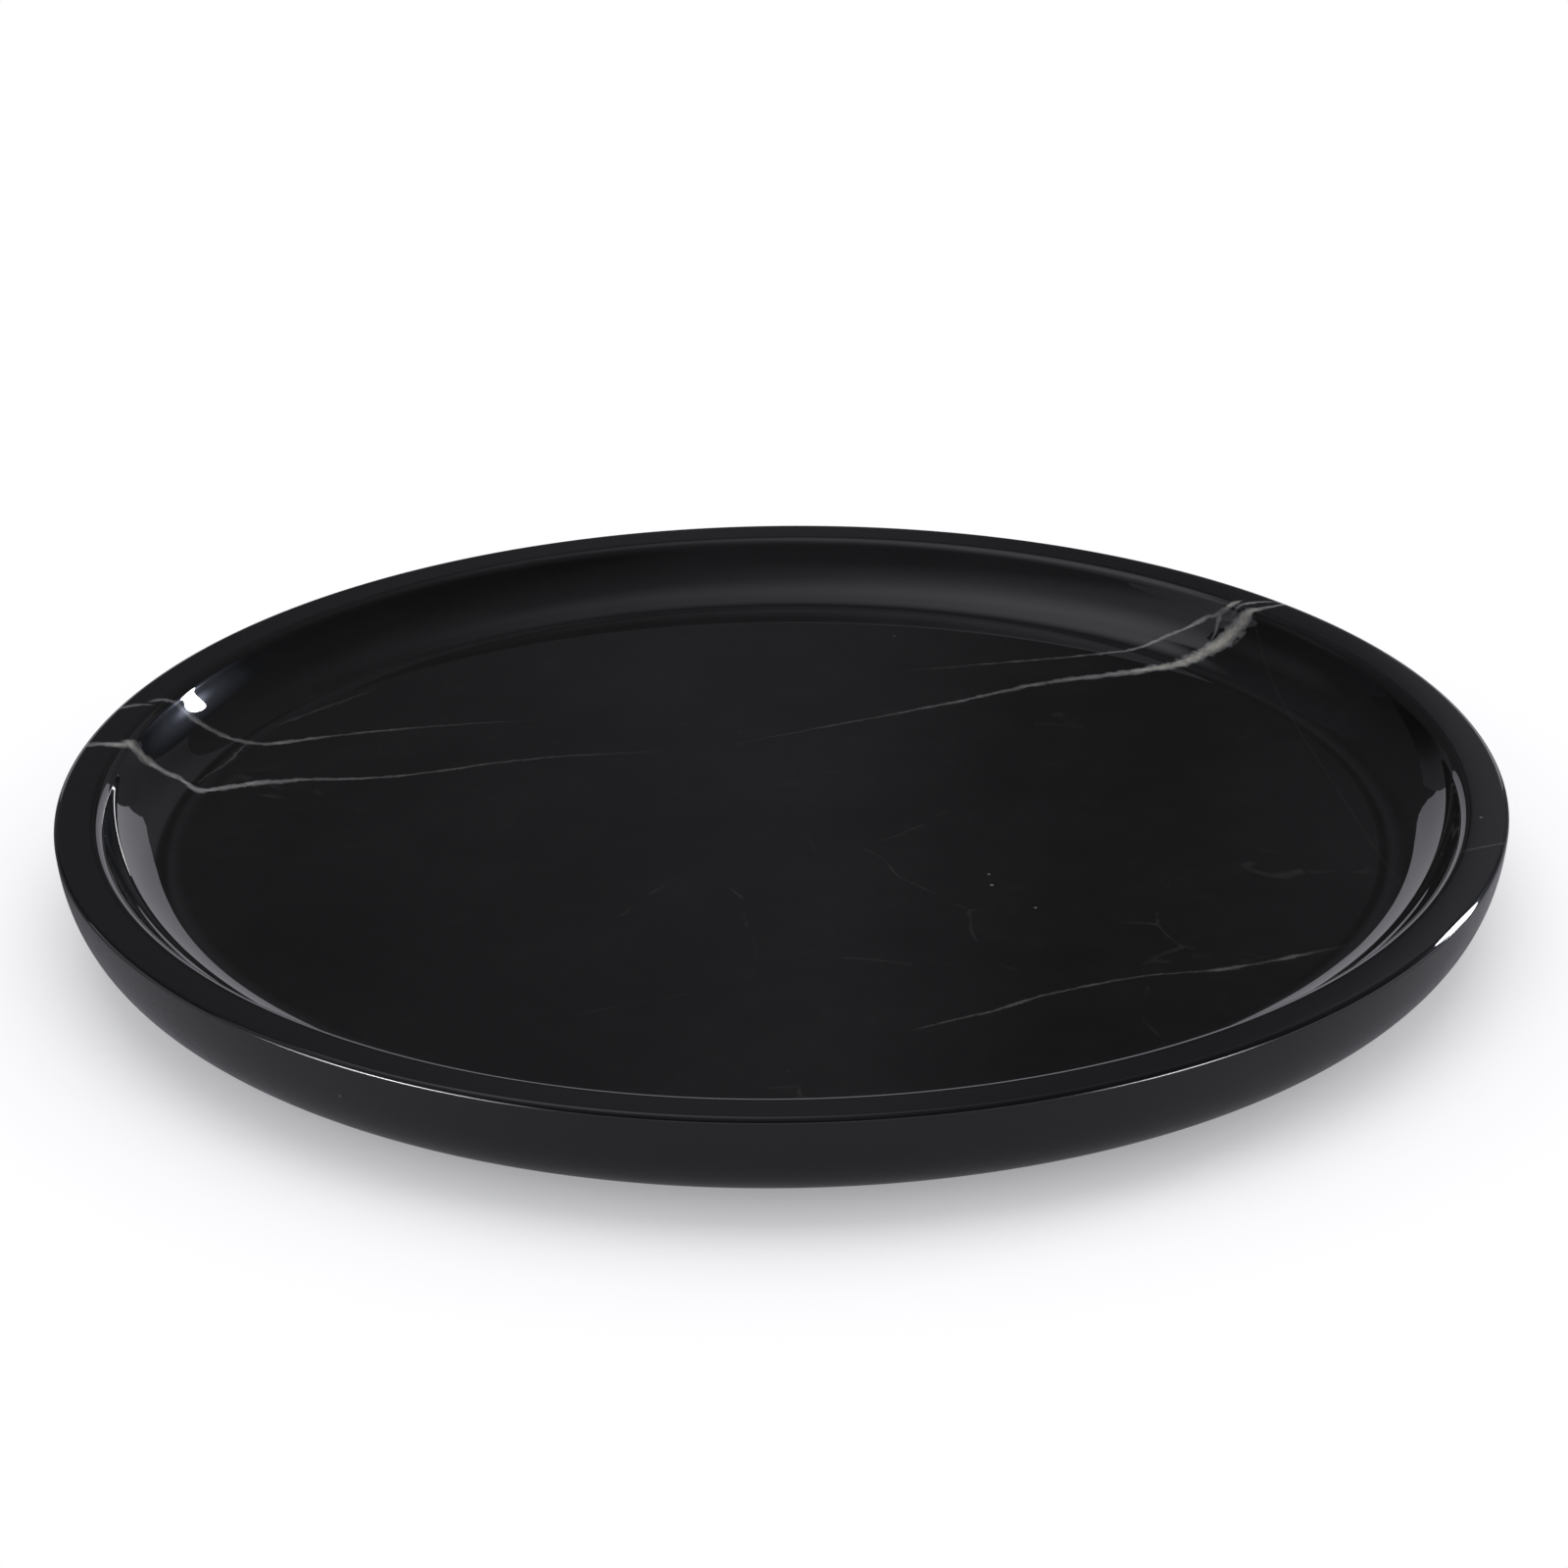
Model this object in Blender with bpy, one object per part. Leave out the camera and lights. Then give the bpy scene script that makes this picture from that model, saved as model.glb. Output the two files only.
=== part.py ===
"""A round marble tray: one turned, hollowed stone body that stands on stick-on rubber feet.

Units are metres and +Z is up. The origin is the centre of the circle that the feet stand on.
The front of the tray faces -Y.
"""
import math

import bmesh
import bpy
from mathutils import Vector
from mathutils.geometry import interpolate_bezier

MM = 0.001

# Stone body, overall
BODY_RADIUS = 125.0 * MM
BODY_HEIGHT = 18.2 * MM
BASE_RADIUS = 108.0 * MM

# Flat rim and the rounding of its two edges
RIM_WIDTH = 6.4 * MM
RIM_OUTER_ROUND = 1.0 * MM
RIM_INNER_ROUND = 2.5 * MM

# Dish: a flat floor with a cove that climbs to the rim
DISH_DEPTH = 9.0 * MM
COVE_SLOPE = math.radians(60.0)

# Outer wall: leaves the rim with a lean and swells down to lie flush with the base
WALL_LEAN = math.radians(5.0)
WALL_TOP_REACH = 10.5 * MM
WALL_BASE_REACH = 11.0 * MM

# Rubber feet, stuck under the base with an even gap for the adhesive
FOOT_RADIUS = 8.0 * MM
FOOT_HEIGHT = 1.5 * MM
FOOT_EDGE_ROUND = 0.5 * MM
FOOT_INSET = 9.0 * MM
FOOT_GAP = 0.3 * MM
FOOT_SPOTS = {
    "foot_front_left": (-1, -1),
    "foot_front_right": (1, -1),
    "foot_rear_right": (1, 1),
    "foot_rear_left": (-1, 1),
}

# Facets: turns around the axis, and points along each curved stretch of a profile
BODY_TURNS = 96
FOOT_TURNS = 32
COVE_POINTS = 10
WALL_POINTS = 12
ROUND_POINTS = 5
LEAN_POINTS = 2
WELD = 0.001 * MM
SHARP_ANGLE = math.radians(40.0)

# Colour, roughness and metallic value of each material
MARBLE = ((0.013, 0.013, 0.015), 0.12, 0.0)
RUBBER = ((0.020, 0.020, 0.021), 0.65, 0.0)


def clear_scene():
    for obj in list(bpy.data.objects):
        bpy.data.objects.remove(obj, do_unlink=True)


def make_material(name, values):
    colour, roughness, metallic = values
    material = bpy.data.materials.new(name)
    material.use_nodes = True
    shader = material.node_tree.nodes["Principled BSDF"]
    shader.inputs["Base Color"].default_value = (*colour, 1.0)
    shader.inputs["Roughness"].default_value = roughness
    shader.inputs["Metallic"].default_value = metallic
    material.diffuse_color = (*colour, 1.0)
    return material


def arc(centre, radius, start, end, count):
    """Points of an arc in the profile's (radius, height) plane, from one angle to another."""
    angles = [start + (end - start) * step / (count - 1) for step in range(count)]
    return [(centre[0] + radius * math.cos(a), centre[1] + radius * math.sin(a)) for a in angles]


def dish_profile():
    """The dish from the floor's centre to the rim: floor, cove and the rim's rounded inner edge."""
    drop_share = 1.0 - math.cos(COVE_SLOPE)
    cove_radius = (DISH_DEPTH - RIM_INNER_ROUND * drop_share) / drop_share
    rim_inner = BODY_RADIUS - RIM_WIDTH
    floor_radius = rim_inner - (cove_radius + RIM_INNER_ROUND) * math.sin(COVE_SLOPE)
    floor = BODY_HEIGHT - DISH_DEPTH
    down = -math.pi / 2
    up = math.pi / 2
    cove = arc((floor_radius, floor + cove_radius), cove_radius, down, down + COVE_SLOPE, COVE_POINTS)
    edge = arc((rim_inner, BODY_HEIGHT - RIM_INNER_ROUND), RIM_INNER_ROUND, up + COVE_SLOPE, up, ROUND_POINTS)
    return [(0.0, floor)] + cove + edge[1:]


def wall_profile():
    """The outside from the rim to the base: the rounded outer edge, then the swelling wall."""
    outer_edge = (BODY_RADIUS - RIM_OUTER_ROUND, BODY_HEIGHT - RIM_OUTER_ROUND)
    edge = arc(outer_edge, RIM_OUTER_ROUND, math.pi / 2, 0.0, ROUND_POINTS)
    edge += arc(outer_edge, RIM_OUTER_ROUND, 0.0, -WALL_LEAN, LEAN_POINTS)[1:]
    top = Vector(edge[-1])
    base = Vector((BASE_RADIUS, 0.0))
    top_handle = top + WALL_TOP_REACH * Vector((-math.sin(WALL_LEAN), -math.cos(WALL_LEAN)))
    base_handle = base + Vector((WALL_BASE_REACH, 0.0))
    wall = interpolate_bezier(top, top_handle, base_handle, base, WALL_POINTS)
    return edge + [(point.x, point.y) for point in wall[1:]]


def foot_profile():
    """A low disc, flat on top, whose lower edge is rounded."""
    corner = (FOOT_RADIUS - FOOT_EDGE_ROUND, FOOT_EDGE_ROUND)
    edge = arc(corner, FOOT_EDGE_ROUND, 0.0, -math.pi / 2, ROUND_POINTS)
    return [(0.0, FOOT_HEIGHT), (FOOT_RADIUS, FOOT_HEIGHT)] + edge + [(0.0, 0.0)]


def turn(name, profile, turns):
    """A closed mesh made by turning a profile, which starts and ends on the axis, about +Z."""
    shape = bmesh.new()
    points = [shape.verts.new((radius, 0.0, height)) for radius, height in profile]
    edges = [shape.edges.new(pair) for pair in zip(points, points[1:])]
    bmesh.ops.spin(shape, geom=points + edges, cent=(0.0, 0.0, 0.0), axis=(0.0, 0.0, 1.0),
                   angle=math.tau, steps=turns, use_merge=True)
    bmesh.ops.remove_doubles(shape, verts=shape.verts, dist=WELD)
    bmesh.ops.recalc_face_normals(shape, faces=shape.faces)
    mesh = bpy.data.meshes.new(name)
    shape.to_mesh(mesh)
    shape.free()
    mesh.shade_smooth()
    mesh.set_sharp_from_angle(angle=SHARP_ANGLE)
    return mesh


def add_piece(name, mesh, place, material, parent):
    mesh.materials.append(material)
    piece = bpy.data.objects.new(name, mesh)
    piece.location = place
    piece.parent = parent
    bpy.context.scene.collection.objects.link(piece)
    return piece


def add_body(parent):
    mesh = turn("tray_body", dish_profile() + wall_profile() + [(0.0, 0.0)], BODY_TURNS)
    marble = make_material("black_marble", MARBLE)
    add_piece("tray_body", mesh, (0.0, 0.0, FOOT_HEIGHT + FOOT_GAP), marble, parent)


def add_feet(parent):
    circle = BASE_RADIUS - FOOT_INSET - FOOT_RADIUS
    for name, (side, end) in FOOT_SPOTS.items():
        mesh = turn(name, foot_profile(), FOOT_TURNS)
        rubber = make_material(name + "_rubber", RUBBER)
        place = circle * Vector((side, end, 0.0)).normalized()
        add_piece(name, mesh, place, rubber, parent)


def main():
    clear_scene()
    tray = bpy.data.objects.new("tray", None)
    bpy.context.scene.collection.objects.link(tray)
    add_body(tray)
    add_feet(tray)


main()
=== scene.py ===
"""A round black marble tray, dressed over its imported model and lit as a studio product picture.

Lengths are metres unless a name says mm or pixels. +Z is up, the front of the tray faces -Y, and the
origin is the centre of the circle that its feet stand on.
"""
import math
from typing import NamedTuple

import bmesh
import bpy
from mathutils import Matrix, Vector
from mathutils.geometry import interpolate_bezier


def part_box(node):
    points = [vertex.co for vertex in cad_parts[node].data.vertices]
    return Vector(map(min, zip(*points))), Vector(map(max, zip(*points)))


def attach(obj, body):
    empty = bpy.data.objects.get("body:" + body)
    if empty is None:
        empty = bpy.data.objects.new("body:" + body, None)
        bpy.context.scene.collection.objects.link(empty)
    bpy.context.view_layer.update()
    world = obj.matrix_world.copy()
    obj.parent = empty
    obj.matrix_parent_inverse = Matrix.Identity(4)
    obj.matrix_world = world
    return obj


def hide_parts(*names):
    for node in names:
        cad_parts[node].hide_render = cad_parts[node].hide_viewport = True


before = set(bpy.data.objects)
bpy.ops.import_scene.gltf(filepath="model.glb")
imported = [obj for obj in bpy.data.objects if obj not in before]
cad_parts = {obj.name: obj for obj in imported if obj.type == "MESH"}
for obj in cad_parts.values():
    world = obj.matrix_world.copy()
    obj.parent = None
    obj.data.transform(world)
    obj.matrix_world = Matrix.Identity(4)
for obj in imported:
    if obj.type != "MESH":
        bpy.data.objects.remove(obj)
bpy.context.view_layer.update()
BODY_LOW, BODY_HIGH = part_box("tray_body")
FEET = [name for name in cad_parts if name.startswith("foot_")]

MM = 0.001
TO_RIGHT = (1.0, 0.0, 0.0)
TO_REAR = (0.0, 1.0, 0.0)
UP = (0.0, 0.0, 1.0)

# Stone body, measured from its node
BODY_RADIUS = BODY_HIGH.x
BODY_TOP = BODY_HIGH.z
BASE_HEIGHT = BODY_LOW.z

# Flat rim and the rounding of its two edges
RIM_WIDTH = 6.4 * MM
RIM_OUTER_ROUND = 1.0 * MM
RIM_INNER_ROUND = 2.5 * MM

# Dish: a flat floor with a cove that climbs to the rim
DISH_DEPTH = 9.0 * MM
COVE_SLOPE = math.radians(60.0)

# Outer wall: leaves the rim with a lean and swells down to lie flush with the base
BASE_RADIUS = 108.0 * MM
WALL_LEAN = math.radians(5.0)
WALL_TOP_REACH = 10.5 * MM
WALL_BASE_REACH = 11.0 * MM

# Points along the stretches of the body's profile, and turns around its axis
BODY_TURNS = 512
FLOOR_RINGS = 12
COVE_POINTS = 28
WALL_POINTS = 36
ROUND_POINTS = 11
OUTER_ROUND_POINTS = 21
LEAN_POINTS = 3
WELD = 0.001 * MM

# Worn flat: one short facet rubbed off the outer edge at the front right, which mirrors the strip lamp. It
# is a little crowned across and along. FLAT_SPAN is how far across and along the rubbing can reach.
FLAT_TURN = math.radians(-27.3)
FLAT_TILT = math.radians(42.0)
FLAT_DEPTH = 0.18 * MM
FLAT_CROWN = (3.0 * MM, 600.0 * MM)
FLAT_SPAN = (3.0 * MM, 13.0 * MM)
FLAT_REACH = math.radians(6.0)
FLAT_PARTS = 10

# Hand finishing leaves the cove a little uneven: how deep, and how many swells go round it
COVE_SWELL = 0.08 * MM
COVE_SWELL_COUNTS = (5, 9, 14)

# Rubber feet: a moulded disc with a raised border, a recess and a centre button
FOOT_EDGE_ROUND = 0.5 * MM
FOOT_BORDER_WIDTH = 1.6 * MM
FOOT_RECESS_DEPTH = 0.25 * MM
FOOT_BUTTON_RADIUS = 2.0 * MM
FOOT_STEP_RUN = 0.25 * MM
FOOT_TURNS = 96
FOOT_SHARP_ANGLE = math.radians(35.0)

# Camera: fitted to the rim's two ellipses in the photograph
IMAGE_SIDE_PIXELS = 1600.0
FOCAL_PIXELS = 5868.0
RIM_CENTRE_PIXELS = (797.0, 803.7)
SENSOR_MM = 36.0
CAMERA_DISTANCE = 0.9938
CAMERA_ELEVATION = math.radians(23.95)
CAMERA_ROLL = math.radians(-0.655)

# Studio floor: how white the camera sees it, as (distance from the tray's axis, white), and how bright the
# stone mirrors it, as smooth steps of (start, end, value before, value after) by distance and towards the
# rear: a painted shadow of the tray, dark near its axis and dimmed behind it. Lamps shine through it
# inside the window's radius.
FLOOR_RADIUS = 8.0
FLOOR_SIDES = 128
SHADE_WHITE = [(0.104, 0.24), (0.111, 0.36), (0.123, 0.565), (0.138, 0.80), (0.152, 0.955),
               (0.170, 1.0)]
# Painted shadow: the stone mirrors the floor dark near the tray and brighter further out, not the paper's
# real shade
MIRRORED_SHADE_NEAR = (0.092, 0.148, 0.05, 0.40)
MIRRORED_SHADE_FAR = (0.150, 0.500, 0.0, 0.40)
MIRRORED_SHADE_BEHIND_WAY = (-0.35, 1.0, 0.0)
MIRRORED_SHADE_BEHIND = (-0.02, 0.08, 1.0, 0.2)
FLOOR_WINDOW = 0.106
PAPER = (0.90, 0.90, 0.905, 1.0)
SEEN_WHITE = (1.0, 1.0, 1.02, 1.0)
MIRRORED_WHITE = (1.0, 1.0, 1.10, 1.0)

# Studio backdrop: a low white rim far around, and behind the tray a white screen with a wavy upper edge
# that stands between two dark flags, before a dark rear cloth. Screen, flags and cloth glow by (distance
# to the right, strength).
RING_ELEVATION = math.radians(9.4)
RING_GLOW = 0.80
SCREEN_DISTANCE = 4.0
SCREEN_END = 1.93
SCREEN_OUTLINE = [(-SCREEN_END, 0.0), (SCREEN_END, 0.0), (SCREEN_END, 0.80), (1.68, 1.18), (1.44, 1.46),
                  (1.16, 1.55), (0.70, 1.52), (0.45, 1.45), (0.25, 1.30), (0.03, 1.00), (-0.12, 0.92),
                  (-0.31, 1.03), (-0.53, 1.20), (-0.75, 1.36), (-1.0, 1.44), (-1.2, 1.43), (-1.44, 1.32),
                  (-1.68, 1.12), (-SCREEN_END, 0.67)]
SCREEN_GLOW = [(-1.94, 0.60), (-1.3, 0.64), (-0.6, 0.72), (0.6, 0.72), (1.0, 0.82), (1.94, 0.95)]
FLAG_END = 5.5
FLAG_TOP = 1.3
FLAG_GLOW = [(-5.5, 0.03), (-3.2, 0.015), (-2.8, 0.04), (-2.3, 0.09), (0.0, 0.10), (2.3, 0.10),
             (2.8, 0.12), (3.6, 0.20), (4.1, 0.27), (5.5, 0.30)]
REAR_DISTANCE = 4.1
REAR_TOP = 2.9
REAR_GLOW = [(-5.5, 0.03), (-1.0, 0.04), (-0.5, 0.03), (-0.2, 0.05), (0.0, 0.06), (0.3, 0.02),
             (0.48, 0.03), (0.65, 0.13), (0.8, 0.14), (2.3, 0.11), (2.8, 0.12), (3.6, 0.20), (4.1, 0.27),
             (5.5, 0.30)]
WORLD_COLOUR = (0.95, 0.98, 1.10, 1.0)
WORLD_STRENGTH = 0.05

# Ceiling cloth over the tray: a base that fades to the right and the rear, one bright place with a tongue
# to the rear, and a dim band to the left. Its rear left edge is sharp at first and soft along the tongue.
CEILING_HEIGHT = 1.5
CEILING_CORNERS = [(-4.4, 0.34), (-1.55, 0.36), (-1.19, 0.50), (-0.96, 0.64), (-0.83, 0.82),
                   (-0.68, 0.97), (-0.48, 1.10), (-0.38, 1.45), (-0.22, 1.78), (-0.08, 2.15), (1.8, 2.15),
                   (1.8, -1.9), (-4.4, -1.9)]
CEILING_BASE = 0.10
CEILING_FADE_RIGHT = (0.2, 1.2)
CEILING_FADE_REAR = (0.7, 1.7)
CEILING_TONGUE_PLACE = (-0.29, 1.38, 0.0)
CEILING_TONGUE_REACH = 0.6
CEILING_TONGUE = 0.38
CEILING_SOFT_WAY = (0.934, -0.357, 0.0)
CEILING_SOFT_EDGE = (-0.87, -0.75)
CEILING_SOFT_REAR = (0.95, 1.10)
CEILING_BRIGHT_PLACE = (-0.43, 0.70, 0.0)
CEILING_BRIGHT_REACH = 0.95
CEILING_BRIGHT = 0.62
CEILING_BAND_MIDDLE = 0.15
CEILING_BAND_REACH = (0.15, 0.95)
CEILING_BAND_ENDS = (0.5, -0.45)
CEILING_BAND = 0.25

# Side cloth: a dim cloth on the left, under the ceiling's edge, which glows by (distance to the rear,
# strength)
SIDE_CLOTH_PLACE = -2.0
SIDE_CLOTH_ENDS = (0.18, -2.6)
SIDE_CLOTH_HEIGHTS = (0.75, 1.49)
SIDE_CLOTH_GLOW = [(-2.6, 0.22), (-0.6, 0.34), (0.0, 0.45), (0.18, 0.80)]

# Lamps: a large fill that only matt surfaces show, one under the floor's window for the underside, and a
# narrow bright strip between two directions, each an azimuth and an elevation in degrees
FILL_PLACE = (0.0, 0.5, 2.0)
FILL_SIZE = (2.2, 2.2)
FILL_RADIANCE = 2.8
UNDER_PLACE = (0.0, 0.0, -0.6)
UNDER_SIZE = (0.9, 0.9)
UNDER_RADIANCE = 2.4
STRIP_LOW = (57.9, 11.0)
STRIP_HIGH = (50.5, 27.0)
STRIP_DISTANCE = 3.0
STRIP_WIDTH = 0.21
STRIP_RADIANCE = 34.0


class Glow(NamedTuple):
    """A soft patch of light that only the stone's mirror shows: where its middle stands, in degrees and
    metres, how far it reaches sideways and up, how bright its middle is, its tint, and by (share of the
    reach, share of the brightness) how it fades."""

    azimuth: float
    elevation: float
    distance: float
    reach: tuple
    radiance: float
    tint: tuple
    fade: list


CARD_SIDES = 48
EVEN_FADE = [(0.0, 1.0), (0.25, 0.84), (0.5, 0.5), (0.75, 0.16), (1.0, 0.0)]
HALO_FADE = [(0.0, 1.0), (0.1, 0.8), (0.2, 0.42), (0.33, 0.12), (0.5, 0.065), (0.75, 0.025), (1.0, 0.0)]

# A wall far behind the ceiling's rear left edge glows faintly, and the halo is the strip lamp's. The two
# reflectors stand low and close at the front corners: the outer edge mirrors them, and the dish's floor,
# seen from above, doesn't.
GLOWS = {
    "rear_left_wall": Glow(-59.0, 41.0, 5.0, (2.3, 1.9), 0.12, (1.0, 1.0, 1.10, 1.0), EVEN_FADE),
    "strip_halo": Glow(54.2, 19.0, 3.3, (1.05, 1.05), 4.6, (0.86, 0.93, 1.22, 1.0), HALO_FADE),
    "left_reflector": Glow(-132.0, 6.1, 0.292, (0.120, 0.019), 60.0, (1.0, 1.0, 1.05, 1.0), EVEN_FADE),
    "right_reflector": Glow(132.5, 6.1, 0.292, (0.080, 0.019), 42.0, (1.0, 1.0, 1.05, 1.0), EVEN_FADE),
}


class Vein(NamedTuple):
    """A sheet of pale calcite that stands upright in the stone.

    course_mm lists its places in plan. width_mm and strength are lists of (share of the way, value): how
    wide the vein is, and how pale.
    """

    course_mm: list
    width_mm: list
    strength: list


# How far a vein's course can sway aside, how wide it can be, and two noises that shake it, by (grain in
# mm, detail, reach in mm). Its edge and core are smooth steps of (start, end, value before, value after)
# across it, in half widths, and at its ends it fades in and out by shares of the way.
SWAY_REACH_MM = 12.0
WIDTH_REACH_MM = 4.0
WANDER = (3.0, 3.0, 0.45)
FRAY = (0.8, 2.0, 0.2)
VEIN_EDGE = (1.45, 0.6, 0.0, 0.62)
VEIN_CORE = (0.8, 0.2, 0.0, 0.38)
VEIN_FADE_IN = (-0.02, 0.01)
VEIN_FADE_OUT = (1.01, 0.98)

VEINS = {
    "left_main": Vein(
        course_mm=[(-127.0, 21.7), (-122.3, 21.8), (-119.3, 22.3), (-116.5, 22.1), (-114.7, 23.3),
                   (-111.8, 23.9), (-107.2, 24.3), (-104.8, 23.0), (-102.3, 21.8), (-100.0, 22.5),
                   (-90.0, 25.5), (-70.0, 27.0), (-45.0, 34.0), (-20.0, 37.0)],
        width_mm=[(0.0, 1.7), (0.09, 1.9), (0.12, 2.4), (0.15, 1.8), (0.2, 1.7), (0.26, 1.9), (0.5, 1.0),
                  (1.0, 0.4)],
        strength=[(0.0, 0.6), (0.08, 0.7), (0.1, 1.0), (0.13, 1.0), (0.16, 0.6), (0.25, 0.65), (0.4, 0.3),
                  (0.7, 0.2), (1.0, 0.0)],
    ),
    "left_second": Vein(
        course_mm=[(-112.9, 41.3), (-111.6, 41.9), (-109.7, 42.3), (-106.7, 43.1), (-104.0, 43.5),
                   (-101.7, 43.3), (-98.4, 43.0), (-95.2, 42.5), (-91.5, 42.4), (-87.9, 43.3),
                   (-84.8, 44.4), (-65.0, 49.0), (-40.0, 52.0)],
        width_mm=[(0.0, 1.0), (0.1, 1.2), (0.3, 1.3), (0.5, 0.9), (1.0, 0.3)],
        strength=[(0.0, 0.25), (0.06, 0.4), (0.2, 0.36), (0.28, 0.42), (0.4, 0.3), (0.6, 0.16), (1.0, 0.0)],
    ),
    "left_rim": Vein(
        course_mm=[(-121.0, 37.9), (-117.6, 38.6), (-115.9, 39.6), (-111.8, 39.5)],
        width_mm=[(0.0, 0.8), (0.6, 0.9), (1.0, 0.5)],
        strength=[(0.0, 0.3), (0.8, 0.3), (1.0, 0.0)],
    ),
    "right_main": Vein(
        course_mm=[(96.5, 82.0), (93.5, 81.0), (91.6, 80.3), (87.9, 78.7), (85.8, 78.0), (83.4, 77.4),
                   (80.0, 76.8), (76.5, 75.5), (66.0, 71.5), (48.0, 66.0), (30.0, 57.0), (10.0, 48.0),
                   (-8.0, 40.0)],
        width_mm=[(0.0, 0.9), (0.05, 1.2), (0.08, 2.0), (0.12, 3.0), (0.18, 3.2), (0.22, 3.0), (0.35, 1.9),
                  (0.6, 1.0), (1.0, 0.4)],
        strength=[(0.0, 0.5), (0.05, 0.65), (0.08, 0.95), (0.2, 1.0), (0.35, 0.5), (0.7, 0.2), (1.0, 0.0)],
    ),
    "right_rim_thin": Vein(
        course_mm=[(95.0, 81.3), (93.5, 81.9), (90.7, 82.5), (88.5, 82.3), (86.9, 81.9), (85.5, 81.1),
                   (84.4, 80.3), (83.4, 79.4)],
        width_mm=[(0.0, 0.7), (0.5, 0.9), (0.75, 1.0), (1.0, 0.8)],
        strength=[(0.0, 0.3), (0.4, 0.4), (0.65, 0.65), (0.78, 0.5), (0.86, 0.18), (1.0, 0.0)],
    ),
    "right_thin": Vein(
        course_mm=[(85.8, 83.0), (84.2, 82.3), (82.4, 82.1), (81.3, 82.4), (79.3, 83.3), (77.5, 83.4),
                   (74.3, 83.7), (71.9, 83.6), (69.5, 82.9), (60.0, 80.0), (40.0, 76.0), (20.0, 72.0)],
        width_mm=[(0.0, 0.9), (0.03, 1.3), (0.06, 0.8), (0.15, 0.7), (0.3, 0.8), (0.5, 0.7), (1.0, 0.3)],
        strength=[(0.0, 0.8), (0.03, 1.0), (0.06, 0.5), (0.12, 0.8), (0.25, 0.7), (0.4, 0.35), (0.6, 0.2),
                  (1.0, 0.0)],
    ),
    "right_fork": Vein(
        course_mm=[(81.9, 82.3), (81.7, 81.1), (81.0, 79.9), (80.0, 78.4)],
        width_mm=[(0.0, 1.0), (0.5, 0.7), (1.0, 0.6)],
        strength=[(0.0, 0.6), (0.4, 0.4), (0.8, 0.35), (1.0, 0.1)],
    ),
    "front_dashes": Vein(
        course_mm=[(20.0, -77.0), (25.4, -74.2), (34.3, -69.8), (40.0, -66.0), (48.2, -61.8), (58.1, -58.0),
                   (71.9, -55.6), (75.7, -54.4), (84.6, -50.9), (88.6, -49.1), (98.0, -45.0)],
        width_mm=[(0.0, 0.4), (0.4, 0.8), (0.62, 0.6), (0.69, 1.3), (0.74, 0.8), (0.83, 1.0), (1.0, 0.5)],
        strength=[(0.0, 0.0), (0.15, 0.20), (0.5, 0.16), (0.62, 0.10), (0.69, 0.42), (0.74, 0.12),
                  (0.83, 0.24), (0.88, 0.06), (1.0, 0.0)],
    ),
    "left_link": Vein(
        course_mm=[(-96.0, 42.5), (-96.8, 40.3), (-99.3, 33.3), (-102.7, 26.5), (-103.6, 23.5)],
        width_mm=[(0.0, 0.5), (1.0, 0.4)],
        strength=[(0.0, 0.09), (0.8, 0.09), (1.0, 0.0)],
    ),
    "left_faint": Vein(
        course_mm=[(-74.0, 67.5), (-79.1, 62.5), (-85.5, 56.4), (-92.5, 49.5)],
        width_mm=[(0.0, 0.8), (1.0, 0.8)],
        strength=[(0.0, 0.0), (0.3, 0.05), (0.8, 0.05), (1.0, 0.0)],
    ),
    "right_rim": Vein(
        course_mm=[(112.5, -30.6), (115.2, -29.3), (121.0, -26.7), (125.5, -24.8)],
        width_mm=[(0.0, 0.4), (1.0, 0.6)],
        strength=[(0.0, 0.0), (0.3, 0.14), (1.0, 0.14)],
    ),
}


class Mottle(NamedTuple):
    """Soft patches: a noise of some grain, detail and roughness, read at a shifted place, which a smooth
    step from start to end turns into a value from low to high."""

    grain_mm: float
    detail: float
    start: float
    end: float
    low: float = 0.0
    high: float = 1.0
    rough: float = 0.5
    shift_mm: tuple = (0.0, 0.0, 0.0)


# Patches of the stone's ground, of the veins' width and paleness, and of the hairlines
CLOUDS = Mottle(26.0, 6.0, 0.34, 0.70, rough=0.62)
SMOKE = Mottle(5.0, 5.0, 0.5, 0.8, rough=0.7)
VEIN_WIDENING = Mottle(2.6, 3.0, 0.28, 0.72, 0.62, 1.34, shift_mm=(9.0, 4.0, 0.0))
VEIN_PATCHES = Mottle(6.0, 3.0, 0.3, 0.68, 0.62, 1.15, shift_mm=(2.0, 17.0, 0.0))
VEIN_GRAIN = Mottle(1.3, 5.0, 0.28, 0.72, 0.62, 1.08, rough=0.7)
HAIRLINE_PATCHES = Mottle(38.0, 2.0, 0.54, 0.66, shift_mm=(31.0, 7.0, 0.0))
HAIRLINE_BREAKS = Mottle(5.0, 3.0, 0.42, 0.6)

# Hairlines: the size of their net's cells, how wide a line is, the share of it that is fully pale, and how
# widely and in what grain the net is bent
HAIRLINE_CELL_MM = 41.0
HAIRLINE_WIDTH_MM = 0.40
HAIRLINE_CORE_SHARE = 0.2
HAIRLINE_BEND_MM = 18.0
HAIRLINE_BEND_GRAIN_MM = 30.0

# Specks: the size of their cells, the share of the cells that have one, their smallest and largest radius,
# and the fade of their edges in shares of the radius
SPECK_CELL_MM = 7.0
SPECK_SHARE = 0.10
SPECK_RADII_MM = (0.12, 0.42)
SPECK_EDGE_SHARES = (1.2, 0.6)
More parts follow.
